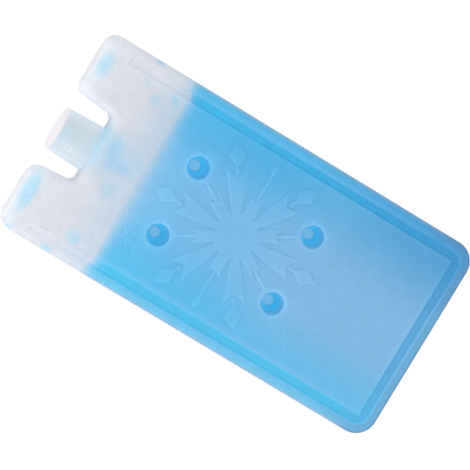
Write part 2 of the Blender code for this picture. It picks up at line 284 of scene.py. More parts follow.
class IcePackColours(PropertyGroup):
    """Colours of the plastic and of the coolant behind it."""

    empty: colour_prop("Empty bottle", "Frosted plastic with air behind it", 221, 224, 232)
    # Colours given for -Y and +Y are lighter at -Y: painted light on the side toward the lamp, and painted
    # shade at +Y
    near_fill_low: colour_prop("By the fill line, -Y", "Plastic by the fill line at -Y", 204, 218, 234)
    near_fill_high: colour_prop("By the fill line, +Y", "Plastic by the fill line at +Y", 188, 210, 230)
    tab_end: colour_prop("Tab ends", "Frosted plastic at the far end of the tabs", 228, 232, 240)
    # Painted highlight on the tab end walls, which face the lamp
    tab_wall_highlight: colour_prop("Tab walls", "Pale end walls of the tabs", 242, 244, 250)
    blue_centre: colour_prop("Panel, middle", "Blue in the middle of the panel", 122, 190, 232)
    blue_low: colour_prop("Panel, -Y side", "Blue toward the -Y edge of the panel", 87, 191, 234)
    blue_high: colour_prop("Panel, +Y side", "Blue toward the +Y edge of the panel", 76, 181, 229)
    # Greyer blue of the blunt half: partly painted shade, farther from the lamp
    end_centre: colour_prop("Blunt half, middle", "Blue of the blunt half, in the middle", 134, 188, 226)
    end_low: colour_prop("Blunt half, -Y side", "Blue of the blunt half toward -Y", 108, 190, 231)
    end_high: colour_prop("Blunt half, +Y side", "Blue of the blunt half toward +Y", 101, 188, 229)
    groove_low: colour_prop("Groove, -Y side", "Blue in the floor of the frame groove at -Y", 75, 199, 236)
    groove_high: colour_prop("Groove, +Y side", "Blue in the floor of the frame groove at +Y", 46, 187, 234)
    groove_end: colour_prop("Groove, blunt end", "Blue in the floor of the frame groove at +X", 92, 178, 224)
    # Painted highlight on the groove's lips that face the lamp
    groove_lip_highlight: colour_prop("Groove lip", "Pale line along the lit lips of the groove", 232, 186, 216)
    rim_low: colour_prop("Rim, -Y side", "Blue in the rim outside the groove at -Y", 106, 188, 224)
    rim_high: colour_prop("Rim, +Y side", "Blue in the rim outside the groove at +Y", 81, 181, 226)
    rim_end: colour_prop("Rim, blunt end", "Blue in the rim outside the groove at +X", 102, 170, 210)
    # Painted sheen on the rounded outer edge at -Y, toward the lamp, and painted shade where that edge turns
    # away at +Y and +X
    edge_sheen_low: colour_prop("Outline, -Y side", "Pale outer edge at -Y", 160, 166, 197)
    edge_shade_high: colour_prop("Outline, +Y side", "Greyer outer edge at +Y", 142, 172, 203)
    edge_shade_end: colour_prop("Outline, blunt end", "Deep blue outer edge at +X", 20, 100, 156)
    pit_wall: colour_prop("Pit wall", "Deep blue on the walls of the tie pits", 58, 187, 236)
    pit_floor: colour_prop("Pit floor", "Pale web at the foot of the tie pits", 136, 204, 236)
    # Painted highlight on the rounded lips of the tie pits
    pit_lip_highlight: colour_prop("Pit lip", "Pale ring round the tie pits", 144, 197, 229)
    relief: colour_prop("Raised snowflake", "Pale blue of the snowflake's thicker plastic", 170, 196, 238)
    gel_trace: colour_prop("Coolant traces", "Pools that cling inside the empty end", 186, 225, 243)
    gel_wash: colour_prop("Coolant wash", "Thin film of coolant at the neck", 154, 210, 237)
    # Painted highlight where the edges round the neck turn
    painted_glint: colour_prop("Glint", "Pale blue where the edges round the neck turn", 224, 245, 255)
    cap: colour_prop("Cap", "Smooth plastic of the cap", 214, 225, 234)
    cap_middle: colour_prop("Cap middle", "Duller middle of the cap", 194, 214, 226)
    # Partly a painted highlight, strongest on the cap's -Y side, toward the lamp
    thread: colour_prop("Thread", "Pale turns of the neck's thread seen through the cap", 236, 243, 250)
    # Painted light on the cap's end, which faces the lamp
    lit_cap_end: colour_prop("Cap end", "Paler end of the cap", 240, 236, 241)
    seal: colour_prop("Seal", "Soft foam disc inside the cap", 228, 226, 228)
    coolant: colour_prop("Coolant body", "The coolant itself, inside the bottle", 72, 168, 228)
    # Painted shade: darkens the blue toward the +X, +Y corner, away from the lamp
    painted_corner_shade: factor_prop("Corner shade", "Factor on the blue toward +X and +Y", (0.68, 0.75, 0.86))
    fill_side: factor_prop("Toward the fill line", "Factor on the blue by the fill line", (1.0, 1.055, 1.03))
    far_rim: factor_prop("Far corner of the rim", "Factor on the rim's blue at +X and +Y", (0.78, 1.02, 1.03))


class IcePackFinish(PropertyGroup):
    """Surface of the plastic."""

    gloss_roughness: share_prop("Roughness", "Roughness of the frosted plastic", 0.42)
    cap_roughness: share_prop("Cap roughness", "Roughness of the cap", 0.36)
    seal_roughness: share_prop("Seal roughness", "Roughness of the sealing disc", 0.85)
    gel_roughness: share_prop("Coolant roughness", "Roughness of the coolant's own surface", 0.22)
    grain_size: length_prop("Grain size", "Size of the frosted grain", 0.0007)
    grain_height: length_prop("Grain height", "Height of the frosted grain", 0.00002)
    waviness: length_prop("Waviness", "Size of the slow waves in the bottle's plastic", 0.014)
    cap_waviness: length_prop("Cap waviness", "Size of the slow waves in the cap", 0.009)
    seal_waviness: length_prop("Seal waviness", "Size of the slow waves in the foam", 0.003)
    gel_waviness: length_prop("Coolant clouds", "Size of the clouds of thicker gel", 0.022)
    mottle_size: length_prop("Mottle size", "Size of the faint mottling of the plastic", 0.002)
    blotch_size: length_prop("Blotch size", "Size of the broader, fainter blotches", 0.006)
    mottle: share_prop("Mottle", "Strength of the faint mottling", 0.14)
    scatter: share_prop("Scatter", "Share of the light that scatters under the surface", 0.94)
    scatter_reach: length_prop("Scatter reach", "How far light travels under the surface", 0.012)
    glow: share_prop("Glow", "Share of the colour that shines through the plastic from inside", 0.14)
    relief_tint: share_prop("Relief tint", "How much paler the raised snowflake is", 0.03)
    notch_glow: share_prop("Notch glow", "Further glow round the neck", 0.22)
    pit_glow: share_prop("Pit glow", "Further glow in the tie pits", 0.42)
    cap_glow: share_prop("Cap glow", "Share of the cap's colour that shines through it", 0.45)
    cap_cover: share_prop("Cap cover", "How much of what is under the cap it hides", 0.9)


class IcePackStudio(PropertyGroup):
    """Camera, light and floor."""

    distance: length_prop("Camera distance", "From the camera to the top face", 2.3648)
    view_width: length_prop("View width", "Width of the view at the top face", 0.28103)
    room_light: FloatProperty(name="Room light", description="Level of the even light", default=0.90, min=0.0)
    key_power: FloatProperty(
        name="Key light", description="Power of the soft lamp", default=1.2, min=0.0, unit="POWER"
    )
    key_size: length_prop("Key size", "Side of the soft lamp", 0.5)
    floor_white: share_prop("Floor white", "How white the floor is to the camera", 0.9)
    floor_glow: FloatProperty(
        name="Floor glow", description="Brightness of the floor to the camera", default=1.06, min=0.0
    )
    floor_dark: factor_prop("Floor, darker", "Darker flecks of the floor", (0.80, 0.80, 0.80))
    floor_pale: factor_prop("Floor, paler", "Paler flecks of the floor", (0.84, 0.84, 0.84))
    floor_size: length_prop("Floor size", "Side of the floor", 12.0)


# Outlines


def rounded_outline(corners, inset=0.0, steps=CORNER_STEPS):
    """Points of an outline given anticlockwise as (x, y, radius), moved inward by inset."""
    count = len(corners)
    points = []
    for i in range(count):
        before = Vector(corners[i - 1][:2])
        here = Vector(corners[i][:2])
        after = Vector(corners[(i + 1) % count][:2])
        way_in = (here - before).normalized()
        way_out = (after - here).normalized()
        turn = math.atan2(way_in.cross(way_out), way_in.dot(way_out))
        half = math.tan(abs(turn) / 2)
        side = 1.0 if turn > 0 else -1.0
        inward = Vector((-way_in.y, way_in.x))
        corner = here + inward * inset + way_in * (-side * inset * half)
        radius = max(corners[i][2] - side * inset, LEAST_RADIUS)
        start = corner - way_in * (radius * half)
        centre = start + inward * (side * radius)
        for k in range(steps + 1):
            swing = Matrix.Rotation(turn * k / steps, 2)
            points.append(centre + swing @ (start - centre))
    return points


def body_corners():
    return [
        (BLUNT_END_X, -HALF_WIDTH, BLUNT_CORNER),
        (BLUNT_END_X, HALF_WIDTH, BLUNT_CORNER),
        (TAB_END_X, HALF_WIDTH, TAB_CORNER),
        (TAB_END_X, NOTCH_HALF_MOUTH, LEFT_TAB_LIP),
        (NOTCH_FLOOR_X, NOTCH_HALF_FLOOR, NOTCH_CORNER),
        (NOTCH_FLOOR_X, -NOTCH_HALF_FLOOR, NOTCH_CORNER),
        (TAB_END_X, -NOTCH_HALF_MOUTH, RIGHT_TAB_LIP),
        (TAB_END_X, -HALF_WIDTH, TAB_CORNER),
    ]


def groove_corners():
    start = TAB_END_X + GROOVE_START
    outer_x = BLUNT_END_X - RIM_WIDTH
    outer_y = HALF_WIDTH - RIM_WIDTH
    inner_x = outer_x - GROOVE_WIDTH
    inner_y = outer_y - GROOVE_WIDTH
    outer_radius = BLUNT_CORNER - RIM_WIDTH
    return [
        (start, -outer_y, GROOVE_END_RADIUS),
        (outer_x, -outer_y, outer_radius),
        (outer_x, outer_y, outer_radius),
        (start, outer_y, GROOVE_END_RADIUS),
        (start, inner_y, GROOVE_END_RADIUS),
        (inner_x, inner_y, PANEL_CORNER),
        (inner_x, -inner_y, PANEL_CORNER),
        (start, -inner_y, GROOVE_END_RADIUS),
    ]


def circle(radius, centre, steps):
    points = []
    for i in range(steps):
        angle = 2 * math.pi * i / steps
        points.append(Vector(centre) + Vector((math.cos(angle), math.sin(angle))) * radius)
    return points


def polar(radius, degrees):
    angle = math.radians(degrees)
    return (radius * math.cos(angle), radius * math.sin(angle))


def turned(points, degrees, centre):
    swing = Matrix.Rotation(math.radians(degrees), 2)
    return [centre + swing @ Vector(point) for point in points]


def with_radius(points, radius):
    return [(point[0], point[1], radius) for point in points]


def mirrored(half, tip=()):
    """A closed form from its +Y half, which runs outward, and the point where the halves meet."""
    return [(x, -y) for x, y in half] + [*tip] + half[::-1]


def wide_arm():
    return [
        polar(VALLEY_RADIUS, -VALLEY_ANGLE),
        polar(PRONG_RADIUS, -PRONG_ANGLE),
        (CROTCH_RADIUS, 0.0),
        polar(PRONG_RADIUS, PRONG_ANGLE),
        polar(VALLEY_RADIUS, VALLEY_ANGLE),
    ]


def slim_arm(ends_in_pit):
    if ends_in_pit:
        reach = math.hypot(PIT_ALONG, PIT_ACROSS) - PIT_MOUTH_RADIUS - PIT_LIP_RADIUS - STEM_GAP
        half = [(reach, STEM_HALF)]
    else:
        half = [(DROP_START, STEM_HALF), (DROP_WIDEST, DROP_HALF), (DROP_TIP, DROP_TIP_HALF)]
    return mirrored([(BARB_RADIUS, BARB_HALF), (BARB_CROTCH, STEM_HALF)] + half)


def kite():
    half = [(KITE_START, KITE_STEM_HALF), (KITE_STEM_END, KITE_STEM_HALF), (KITE_WIDEST, KITE_HALF)]
    return mirrored(half, [(KITE_TIP, 0.0)])


def star_arm():
    return [polar(STAR_VALLEY, -ARM_TURN / 2), (STAR_RADIUS, -STAR_ARM_HALF), (STAR_RADIUS, STAR_ARM_HALF)]


def relief_outlines():
    """The snowflake, its six kites and the two small stars, each with its rise."""
    centre = Vector((FLAKE_CENTRE_X, 0.0))
    found = []
    flake = []
    for k in range(FLAKE_ARMS):
        angle = ARM_TURN * k
        flake += turned(wide_arm(), angle, centre)
        flake += turned(slim_arm(ends_in_pit=k not in ACROSS_ARMS), angle + ARM_TURN / 2, centre)
        found.append((with_radius(turned(kite(), angle, centre), FLAKE_ROUNDING), FLAKE_RISE))
    found.append((with_radius(flake, FLAKE_ROUNDING), FLAKE_RISE))
    for place in STARS:
        star = []
        for k in range(FLAKE_ARMS):
            star += turned(star_arm(), ARM_TURN * k, Vector(place))
        found.append((with_radius(star, STAR_ROUNDING), STAR_RISE))
    return found


def pit_places():
    places = []
    for x_side in (1, -1):
        for y_side in (1, -1):
            places.append((FLAKE_CENTRE_X + x_side * PIT_ALONG, y_side * PIT_ACROSS))
    return places


def eased(share):
    return share * share * (3 - 2 * share)


# Meshes


def new_piece(name, bm, material):
    mesh = bpy.data.meshes.new(name)
    bm.to_mesh(mesh)
    bm.free()
    mesh.materials.append(material)
    mesh.shade_smooth()
    piece = bpy.data.objects.new(name, mesh)
    bpy.context.scene.collection.objects.link(piece)
    return piece


def even_normals(piece):
    """Large flat faces keep flat shading beside their rounded edges."""
    modifier = piece.modifiers.new("even_normals", "WEIGHTED_NORMAL")
    modifier.mode = "FACE_AREA"
    modifier.keep_sharp = True


def add_rings(bm, rings, closed=True):
    """Faces between rings of equally many points; returns the rows of vertices."""
    rows = [[bm.verts.new(point) for point in ring] for ring in rings]
    count = len(rows[0])
    for lower, upper in zip(rows, rows[1:]):
        for i in range(count if closed else count - 1):
            j = (i + 1) % count
            bm.faces.new((lower[i], lower[j], upper[j], upper[i]))
    return rows


def face_sheet(loops):
    """Triangles over a flat face, from closed loops given as (points, height)."""
    points, edges, heights = [], [], []
    for outline, height in loops:
        start = len(points)
        count = len(outline)
        points += outline
        heights += [height] * count
        edges += [(start + i, start + (i + 1) % count) for i in range(count)]
    places, _, faces, origins, _, _ = delaunay_2d_cdt(points, edges, [], 1, CUT_TOLERANCE)
    if any(not origin for origin in origins):
        raise RuntimeError("two outlines on the bottle's face cross")
    return [(place.x, place.y, heights[origin[0]]) for place, origin in zip(places, origins)], faces


def pit_profile(shape, front):
    """(radius, drop below the face) from the lip to the web, deep in the front and shallow in the back."""
    floor, depth = (FRONT_PIT_FLOOR, FRONT_PIT_DEPTH) if front else (BACK_PIT_FLOOR, BACK_PIT_DEPTH)
    profile = []
    for k in range(LIP_STEPS + 1):
        angle = math.pi / 2 * k / LIP_STEPS
        outward = PIT_LIP_RADIUS * (1 - math.sin(angle))
        profile.append((PIT_MOUTH_RADIUS + outward, PIT_LIP_RADIUS * (1 - math.cos(angle))))
    blend = shape.pit_floor_blend
    for share in PIT_FOOT_SHARES:
        profile.append((floor + blend * (PIT_FOOT_OUT - share), depth - blend * (1 - share) ** 2))
    return profile


def face_loops(shape, front):
    """Every loop on one face, as (points, drop below that face)."""
    loops = [(rounded_outline(body_corners(), EDGE_RADIUS), 0.0)]
    start = GROOVE_SLOPE / 2 - shape.groove_blend / 2
    for k in range(SLOPE_STEPS + 1):
        share = k / SLOPE_STEPS
        outline = rounded_outline(groove_corners(), start + shape.groove_blend * share)
        loops.append((outline, GROOVE_DEPTH * eased(share)))
    for place in pit_places():
        for radius, drop in pit_profile(shape, front):
            loops.append((circle(radius, place, PIT_STEPS), drop))
    if front:
        for corners, rise in relief_outlines():
            blend = shape.relief_blend if rise == FLAKE_RISE else shape.star_blend
            for k in range(SLOPE_STEPS):
                share = k / (SLOPE_STEPS - 1)
                outline = rounded_outline(corners, blend * share - shape.relief_spread, SMALL_CORNER_STEPS)
                loops.append((outline, -rise * eased(share)))
    return loops


def add_body(bm, shape):
    """The flat body: rounded sides with a parting line, and both faces."""
    levels = []
    for k in range(EDGE_STEPS + 1):
        angle = math.pi / 2 * k / EDGE_STEPS
        levels.append((EDGE_RADIUS * (1 - math.sin(angle)), EDGE_RADIUS * (1 - math.cos(angle))))
    levels.append((0.0, MID_Z - shape.seam_half))
    upper = [(inset, THICKNESS - rise) for inset, rise in reversed(levels)]
    rings = []
    for inset, z in levels + [(shape.seam_depth, MID_Z)] + upper:
        rings.append([(p.x, p.y, z) for p in rounded_outline(body_corners(), inset)])
    add_rings(bm, rings)
    for front in (False, True):
        places, faces = face_sheet(face_loops(shape, front))
        made = []
        for x, y, drop in places:
            made.append(bm.verts.new((x, y, THICKNESS - drop if front else drop)))
        for face in faces:
            bm.faces.new([made[i] for i in (face if front else face[::-1])])


def axis_point(radius, angle, x):
    """A point round the neck's axis, whose angle turns from +Y toward +Z."""
    return (x, radius * math.cos(angle), MID_Z + radius * math.sin(angle))


def add_lathe(bm, profile, steps):
    """A closed turned body on the neck's axis; the profile is a closed ring of (radius, x)."""
    rings = []
    for i in range(steps):
        angle = 2 * math.pi * i / steps
        rings.append([axis_point(radius, angle, x) for radius, x in profile])
    rows = add_rings(bm, rings)
    count = len(profile)
    for i in range(count):
        j = (i + 1) % count
        bm.faces.new((rows[-1][i], rows[-1][j], rows[0][j], rows[0][i]))


def arc(centre_radius, centre_x, radius, start, end, steps):
    """Points (radius, x) along an arc; angles in degrees from outward toward +X."""
    points = []
    for k in range(steps + 1):
        angle = math.radians(start + (end - start) * k / steps)
        points.append((centre_radius + radius * math.cos(angle), centre_x + radius * math.sin(angle)))
    return points


def add_neck(bm):
    bore = NECK_RADIUS - NECK_WALL
    lip = NECK_LIP_RADIUS
    foot = NECK_FOOT_RADIUS
    profile = [(bore, NOTCH_FLOOR_X + NECK_SUNK)]
    profile += arc(bore + lip, NECK_END_X + lip, lip, 180, 270, LIP_ARC_STEPS)
    profile += arc(NECK_RADIUS - lip, NECK_END_X + lip, lip, 270, 360, LIP_ARC_STEPS)
    profile += arc(NECK_RADIUS + foot, NOTCH_FLOOR_X - foot, foot, 180, 90, NECK_FOOT_STEPS)
    profile.append((NECK_RADIUS + foot, NOTCH_FLOOR_X + NECK_SUNK))
    add_lathe(bm, profile, CAP_STEPS)


def add_thread(bm, foot_radius, crest_radius, end_x, turns):
    """A rounded screw ridge that starts at end_x and winds toward +X."""
    outward = 1.0 if crest_radius > foot_radius else -1.0
    count = turns * THREAD_STEPS
    run_out = THREAD_STEPS // 4
    rings = []
    for i in range(count + 1):
        angle = -2 * math.pi * i / THREAD_STEPS
        x = end_x + THREAD_PITCH * i / THREAD_STEPS
        rise = eased(min(1.0, (min(i, count - i) + 1) / run_out))
        crest = foot_radius + (crest_radius - foot_radius) * rise
        sunk = foot_radius - outward * THREAD_SUNK
        middle = (foot_radius + crest) / 2
        half = [
            (sunk, THREAD_ROOT_HALF),
            (foot_radius, THREAD_FOOT / 2),
            (middle, (THREAD_FOOT + THREAD_CREST) / 4),
            (crest, THREAD_TOP_HALF),
        ]
        rings.append([axis_point(radius, angle, x + shift) for radius, shift in mirrored(half)])
    rows = add_rings(bm, rings)
    bm.faces.new(rows[0])
    bm.faces.new(rows[-1])


def finish_solid(bm):
    """Welds what meets, and turns every face outward."""
    bmesh.ops.remove_doubles(bm, verts=bm.verts, dist=WELD_DISTANCE)
    bmesh.ops.recalc_face_normals(bm, faces=bm.faces)


# Node helpers


class Wiring:
    """Adds nodes to a tree, with values or sockets as inputs."""

    def __init__(self, tree):
        self.tree = tree

    def add(self, kind, **settings):
        node = self.tree.nodes.new(kind)
        for key, value in settings.items():
            setattr(node, key, value)
        return node

    def put(self, socket, value):
        if isinstance(value, bpy.types.NodeSocket):
            self.tree.links.new(value, socket)
        elif value is not None:
            socket.default_value = value

    def math(self, operation, first, second=None, third=None):
        node = self.add("ShaderNodeMath", operation=operation)
        for socket, value in zip(node.inputs, (first, second, third)):
            self.put(socket, value)
        return node.outputs[0]

    def plus(self, first, second):
        return self.math("ADD", first, second)

    def minus(self, first, second):
        return self.math("SUBTRACT", first, second)

    def times(self, first, *others):
        for other in others:
            first = self.math("MULTIPLY", first, other)
        return first

    def times_plus(self, first, second, third):
        return self.math("MULTIPLY_ADD", first, second, third)

    def larger(self, first, second):
        return self.math("MAXIMUM", first, second)

    def unsigned(self, value):
        return self.math("ABSOLUTE", value)

    def between(self, share, first, second):
        """A number that goes from first to second as the share goes from 0 to 1."""
        return self.times_plus(share, self.minus(second, first), first)

    def ramp(self, value, low, high, start=0.0, end=1.0):
        """Smooth step from start at low to end at high."""
        node = self.add("ShaderNodeMapRange", interpolation_type="SMOOTHSTEP")
        for socket, number in zip(node.inputs, (value, low, high, start, end)):
            self.put(socket, number)
        return node.outputs[0]

    def band(self, value, start, full, past, end):
        """One from full to past, and nothing before start and after end."""
        return self.times(self.ramp(value, start, full), self.ramp(value, end, past))

    def line(self, value, middle, reach):
        """One at the middle, falling to nothing at the reach on both sides."""
        return self.ramp(self.unsigned(self.minus(value, middle)), reach, 0.0)

    def vector(self, operation, first, second=None):
        node = self.add("ShaderNodeVectorMath", operation=operation)
        self.put(node.inputs[0], first)
        self.put(node.inputs[1], second)
        return node.outputs["Value" if operation == "LENGTH" else "Vector"]

    def scaled(self, colour, factor):
        """A colour or a position times a number."""
        node = self.add("ShaderNodeVectorMath", operation="SCALE")
        self.put(node.inputs[0], colour)
        self.put(node.inputs["Scale"], factor)
        return node.outputs[0]

    def mix(self, share, first, second):
        node = self.add("ShaderNodeMix", data_type="RGBA")
        self.put(node.inputs[0], share)
        for socket, value in ((node.inputs[6], first), (node.inputs[7], second)):
            if not isinstance(value, bpy.types.NodeSocket):
                value = (*value, 1.0)
            self.put(socket, value)
        return node.outputs[2]

    def noise(self, vector, scale, detail=2.0, roughness=0.5):
        node = self.add("ShaderNodeTexNoise")
        wanted = {"Vector": vector, "Scale": scale, "Detail": detail, "Roughness": roughness}
        for name, value in wanted.items():
            self.put(node.inputs[name], value)
        return node.outputs["Fac"]

    def group(self, tree, **values):
        node = self.add("ShaderNodeGroup")
        node.node_tree = tree
        for name, value in values.items():
            self.put(node.inputs[name.replace("_", " ")], value)
        return node.outputs


def new_group(name, inputs, outputs):
    """A shader node group that takes numbers and vectors, given by their defaults, and puts out numbers.

    Returns its tree, its wiring, what it is given and where its results go.
    """
    tree = bpy.data.node_groups.new(name, "ShaderNodeTree")
    for label, default in inputs.items():
        kind = "NodeSocketFloat" if isinstance(default, float) else "NodeSocketVector"
        tree.interface.new_socket(label, in_out="INPUT", socket_type=kind).default_value = default
    for label in outputs:
        tree.interface.new_socket(label, in_out="OUTPUT", socket_type="NodeSocketFloat")
    w = Wiring(tree)
    return tree, w, w.add("NodeGroupInput").outputs, w.add("NodeGroupOutput").inputs


def moulded_skin_group():
    """Grain and slow waves of moulded plastic, as a height, a slow cloud round 0 and a roughness."""
    found = bpy.data.node_groups.get("moulded_skin")
    if found:
        return found
    tree, w, given, out = new_group(
        "moulded_skin",
        {"Position": (0.0, 0.0, 0.0), "Grain Size": 0.7, "Waviness Size": 14.0, "Roughness": 0.4},
        ("Height", "Cloud", "Roughness"),
    )
    fine = w.noise(given["Position"], w.math("DIVIDE", 1.0, given["Grain Size"]), 3.0, 0.6)
    slow = w.noise(given["Position"], w.math("DIVIDE", 1.0, given["Waviness Size"]))
    w.put(out["Height"], w.times_plus(slow, WAVES_IN_HEIGHT, fine))
    w.put(out["Cloud"], w.times(w.minus(slow, 0.5), 2.0))
    smudge = w.times(w.minus(slow, 0.5), SMUDGE)
    speck = w.times(w.minus(fine, 0.5), SPECK)
    w.put(out["Roughness"], w.plus(given["Roughness"], w.plus(smudge, speck)))
    return tree


def gel_trace_group():
    """A soft-edged oval spot: its strength inside, falling to nothing at its edge."""
    found = bpy.data.node_groups.get("gel_trace")
    if found:
        return found
    tree, w, given, out = new_group(
        "gel_trace",
        {
            "Position": (0.0, 0.0, 0.0),
            "Centre": (0.0, 0.0, 0.0),
            "Half Size": (1.0, 1.0, 1.0),
            "Turn": 0.0,
            "Softness": 0.5,
            "Strength": 1.0,
        },
        ["Mask"],
    )
    turn = w.add("ShaderNodeVectorRotate", rotation_type="Z_AXIS")
    w.put(turn.inputs["Vector"], w.vector("SUBTRACT", given["Position"], given["Centre"]))
    w.put(turn.inputs["Angle"], given["Turn"])
    share = w.vector("LENGTH", w.vector("DIVIDE", turn.outputs[0], given["Half Size"]))
    w.put(out["Mask"], w.ramp(share, w.minus(1.0, given["Softness"]), 1.0, given["Strength"], 0.0))
    return tree


def new_material(name, colour):
    material = bpy.data.materials.new(name)
    material.use_nodes = True
    material.diffuse_color = (*colour, 1.0)
    return material, Wiring(material.node_tree), material.node_tree.nodes["Principled BSDF"]


def grained(w, shader, point, finish, roughness, waviness):
    """Feeds the shader's roughness and normal from the moulded skin; returns its slow cloud."""
    skin = w.group(
        moulded_skin_group(),
        Position=point,
        Grain_Size=finish.grain_size / MM,
        Waviness_Size=waviness / MM,
        Roughness=roughness,
    )
    w.put(shader.inputs["Roughness"], skin["Roughness"])
    bump = w.add("ShaderNodeBump")
    w.put(bump.inputs["Strength"], 1.0)
    w.put(bump.inputs["Distance"], finish.grain_height)
    w.put(bump.inputs["Height"], skin["Height"])
    w.put(shader.inputs["Normal"], bump.outputs[0])
    return skin["Cloud"]


def clouded(w, surface, cloud, strength):
    """A colour made slightly lighter and darker by the slow cloud."""
    return w.scaled(surface, w.times_plus(cloud, strength, 1.0))


def lit_by_room(w, shader, colour, glow):
    """Splits a translucent colour between what the lamps light and what shines through from inside."""
    w.put(shader.inputs["Base Color"], w.scaled(colour, w.minus(1.0, glow)))
    w.put(shader.inputs["Emission Color"], w.scaled(colour, glow))
    shader.inputs["Emission Strength"].default_value = 1.0


# Zones of colour. Every measure in this part is in millimetres.
MID = MID_Z / MM
FACE = THICKNESS / MM
GROOVE_OUT = RIM_WIDTH / MM
GROOVE_IN = GROOVE_OUT + GROOVE_WIDTH / MM
GROOVE_FROM = (TAB_END_X + GROOVE_START) / MM
CAP_END_EDGE = (CAP_LOW.x + CAP_EDGE_RADIUS) / MM

# Parts of the groove, measured from its edges: where the floor begins and is full. The side walls and the
# end wall also have where they begin to fade and where they end.
GROOVE_FLOOR = (-0.3, 0.9)
GROOVE_SIDE_WALL = (-1.5, -0.5, 0.3, 1.3)
GROOVE_END_WALL = (-0.5, 0.9, 0.6, 2.4)

# Each zone: the measure of Place that it follows, where it begins and where it is full
ZONES = {
    "blunt half": ("x", -5.0, 45.0),
    "blunt end": ("x", 88.0, 121.0),
    "edge at blunt end": ("x", 100.0, 126.0),
    "before blunt end": ("x", 104.0, 84.0),
    "far rim": ("x", 98.0, 118.0),
    "toward corner": ("x", -20.0, 120.0),
    "beside fill line": ("x", -30.0, -56.0),
    "toward fill line": ("x", -100.0, -68.0),
    "beyond neck": ("x", -86.0, -72.0),
    "notch length": ("x", -92.0, -99.0),
    "off tab ends": ("x", -132.0, -104.0),
    "tab walls": ("x", -127.6, -129.4),
    "groove length": ("x", GROOVE_FROM + GROOVE_END_WALL[0], GROOVE_FROM + GROOVE_END_WALL[1]),
    "panel across": ("y", -50.0, 50.0),
    "fill line across": ("y", -45.0, 45.0),
    "pack across": ("y", -60.0, 60.0),
    "lips across": ("y", -20.0, 20.0),
    "walls across": ("y", -10.0, 10.0),
    "low half": ("y", 0.0, -8.0),
    "high half": ("y", 0.0, 60.0),
    "high rim": ("y", 46.0, 60.0),
    "inside high rim": ("y", 55.0, 51.5),
    "near axis": ("off_axis", 90.0, 10.0),
    "round neck": ("off_axis", 34.0, 30.0),
    "notch width": ("off_axis", 32.0, 24.0),
    "fill line sides": ("off_axis", 20.0, 48.0),
    "front edge": ("z", MID + 6.0, MID + 10.5),
    "above back": ("z", 0.5, 6.0),
    "front pits": ("z", MID - 8.0, MID - 7.0),
    "raised": ("z", FACE + 0.1, FACE + FLAKE_RISE / MM),
    "both faces": ("off_level", 8.5, 11.5),
    "outline": ("inset", 2.4, 0.2),
    "rim": ("inset", 6.6, 5.4),
    "whole rim": ("inset", 6.8, 6.0),
    "frame": ("inset", 12.6, 11.4),
    "down groove": ("inset", 4.8, 10.0),
    "side rims": ("from_side", 6.4, 4.8),
    "pit wall": ("past_mouth", 0.4, -2.0),
    "pit": ("past_mouth", 0.0, -1.6),
    "cap base": ("x", -109.0, -103.0),
    "cap end": ("x", CAP_END_EDGE + 0.6, CAP_END_EDGE - 0.6),
    "cap thread": ("y", 1.0, -7.0),
    "cap sides": ("off_axis", 9.0, 13.5),
}

# Panel: the pale middle's shift toward -Y, its flat part in the blunt half, and where it fades
PALE_MIDDLE_SHIFT = 4.0
PALE_MIDDLE_FLAT = 8.0
PALE_MIDDLE_FADE = (8.0, 50.0)
LOW_HALF_STEEPER = 0.25
BLUNT_HALF_SHARE = 0.75

# Painted highlights on the lit lips of the groove: how far inside the outline each pale line lies, and its
# reach
INNER_LIP_HIGHLIGHT = (14.2, 2.6)
OUTER_LIP_HIGHLIGHT = (6.5, 1.6)
LIP_HIGHLIGHT_SHARE = 0.055
# Strength of the painted sheen and shade on the outer edge
EDGE_LIGHT_SHARE = 0.7

# Pits: the painted highlight on the lip outside the mouth, and the floor's edge
PIT_LIP_HIGHLIGHT = (-0.2, 1.2, 2.0, 4.4)
PIT_LIP_HIGHLIGHT_SHARE = 0.1
PIT_FLOOR_EDGE = (0.6, -0.8)

# Empty end: how much lighter the groove's parts and the rim are made, at -Y and at +Y: painted light, and
# where negative painted shade, that evens out the lamp's shading
FLOOR_LIFT = (0.08, 0.05)
OUTER_WALL_LIFT = (0.0, -0.08)
INNER_WALL_LIFT = (-0.10, 0.0)
RIM_LIFT = (-0.07, -0.05)
END_WALL_LIFT = 0.06
TAB_WALL_HIGHLIGHT_SHARE = 0.8
HIGH_RIM_SHARE = 0.35

# The coolant's edge, part by part: in the middle of the panel, at its sides, on the rim and in the groove.
# Pairs are for -Y and +Y. The shift is toward +X, and the reach is how far the blue takes to come in.
FILL_SHIFT = (-1.3, (0.5, -0.5), (-1.9, -2.5), (1.1, 0.6))
FILL_REACH = (6.2, (3.9, 4.2), (3.8, 3.8), (3.6, 2.3))
FILL_WAVER = 0.5
FILL_STEEPNESS = 1.35

# Cap: its duller middle across the pack, the thread's part of each turn, its length and how strongly it
# shows, a painted highlight stronger at -Y
CAP_MIDDLE = (-11.0, -3.0, 5.0, 13.0)
CAP_MIDDLE_SHARE = 0.75
CAP_WASH_SHARE = 0.2
# Painted light toward the cap's sides
CAP_SIDE_PAINTED_LIGHT = 1.1
THREAD_TURN = (0.32, 0.48)
THREAD_LENGTH = (-123.0, -121.0, -111.0, -108.0)
THREAD_HIGHLIGHT_SHARE = (0.06, 0.42)

# Grain and clouds
WAVES_IN_HEIGHT = 0.6
SMUDGE = 0.2
SPECK = 0.1
BLOTCH_SHARE = 0.6
BOTTLE_CLOUD = 0.04
CAP_CLOUD = 0.03
SEAL_CLOUD = 0.06
THICK_GEL = (-0.6, 0.6)
THICK_GEL_SHADE = 0.8
SCATTER_BY_CHANNEL = (0.85, 0.95, 1.0)


